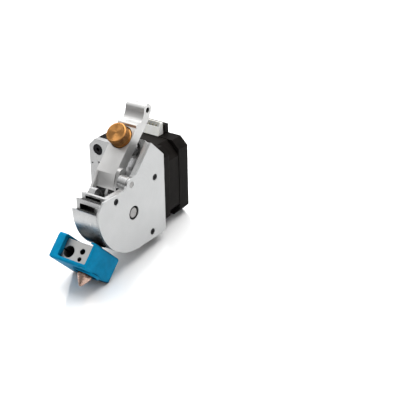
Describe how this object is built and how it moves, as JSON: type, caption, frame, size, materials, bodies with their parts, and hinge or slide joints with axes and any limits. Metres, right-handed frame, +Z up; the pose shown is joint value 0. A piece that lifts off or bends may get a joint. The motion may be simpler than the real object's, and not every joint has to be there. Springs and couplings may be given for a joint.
{
  "type": "filament extruder with hot end",
  "caption": "Direct-drive filament extruder: pancake stepper, bevel pair to a hobbed drive gear, sprung idler lever with thumb screw, and a hot end in a silicone sock.",
  "frame": {"origin": "centre of the bounding box, on the surface that the extruder rests on", "axes": "+X out of the side cover along the drive shaft, -Y forward towards the nozzle, +Y towards the rear of the motor, +Z up"},
  "size_m": [0.0458, 0.091, 0.0707],
  "materials": {
    "black_cap": "satin black coat on cast aluminium",
    "laminations": "black-coated steel laminations",
    "rotor_iron": "ground",
    "bearing_steel": "ground",
    "shaft_steel": "ground",
    "gear_steel": "machined",
    "black_steel": "black oxide",
    "connector_plastic": "natural, slightly translucent",
    "contact_metal": "tinned",
    "machined_aluminium": "machined, lightly brushed",
    "knob_brass": "turned and knurled",
    "spring_steel": "bright",
    "heat_break_steel": "turned, heat-tinted",
    "block_aluminium": "milled",
    "silicone": "matt moulded silicone",
    "nozzle_brass": "turned, reddish"
  },
  "bodies": {
    "frame": {"motor_front_cap": "black_cap", "motor_stator": "laminations", "motor_rear_cap": "black_cap", "motor_front_bearing": "bearing_steel", "motor_rear_bearing": "bearing_steel", "motor_bolt_1": "black_steel", "motor_bolt_2": "black_steel", "motor_bolt_3": "black_steel", "motor_bolt_4": "black_steel", "connector_housing": "connector_plastic", "connector_pin_1": "contact_metal", "connector_pin_2": "contact_metal", "connector_pin_3": "contact_metal", "connector_pin_4": "contact_metal", "connector_pin_5": "contact_metal", "connector_pin_6": "contact_metal", "main_body": "machined_aluminium", "side_cover": "machined_aluminium", "cover_screw_1": "black_steel", "cover_screw_2": "black_steel", "cover_screw_3": "black_steel", "flange_screw_1": "black_steel", "flange_screw_2": "black_steel", "flange_screw_3": "black_steel", "shaft_bearing_inner": "bearing_steel", "shaft_bearing_cover": "bearing_steel", "pivot_pin": "shaft_steel", "heat_break": "heat_break_steel", "heat_break_screw": "black_steel", "heater_block": "block_aluminium", "silicone_sock": "silicone", "nozzle": "nozzle_brass", "clamp_screw": "black_steel", "thermistor_screw": "black_steel"},
    "rotor": {"motor_rotor": "rotor_iron", "motor_shaft": "shaft_steel", "bevel_pinion": "gear_steel"},
    "drive": {"drive_shaft": "shaft_steel", "bevel_gear": "gear_steel", "drive_gear": "gear_steel"},
    "lever": {"tension_lever": "machined_aluminium", "idler_pin": "shaft_steel"},
    "idler": {"idler_gear": "gear_steel"},
    "knob": {"thumb_knob": "knob_brass", "spring_washer": "spring_steel", "tension_spring": "spring_steel"}
  },
  "joints": [
    {"name": "motor_spin", "type": "hinge", "parent": "frame", "child": "rotor", "pos_m": [-0.00175, 0.01716, 0.02463], "axis": [0, 0.9886, -0.1506], "continuous": true},
    {"name": "drive_spin", "type": "hinge", "parent": "frame", "child": "drive", "pos_m": [-0.00175, -0.00761, 0.0284], "axis": [1, 0, 0], "continuous": true},
    {"name": "lever_open", "type": "hinge", "parent": "frame", "child": "lever", "pos_m": [0.00825, -0.00617, 0.04385], "axis": [-1, 0, 0], "range_deg": [0, 6], "stiffness_Nm_per_rad": 0.5, "springref_deg": -8.59},
    {"name": "idler_spin", "type": "hinge", "parent": "lever", "child": "idler", "pos_m": [0.01475, -0.01235, 0.03485], "axis": [1, 0, 0], "continuous": true},
    {"name": "knob_turn", "type": "hinge", "parent": "lever", "child": "knob", "pos_m": [0.00805, 0.00985, 0.0565], "axis": [0, -0.5925, 0.8055], "range_deg": [-360, 360]}
  ],
  "couplings": [
    {"joint": "drive_spin", "follows": "motor_spin", "ratio": -0.33333},
    {"joint": "idler_spin", "follows": "motor_spin", "ratio": 0.33333}
  ]
}
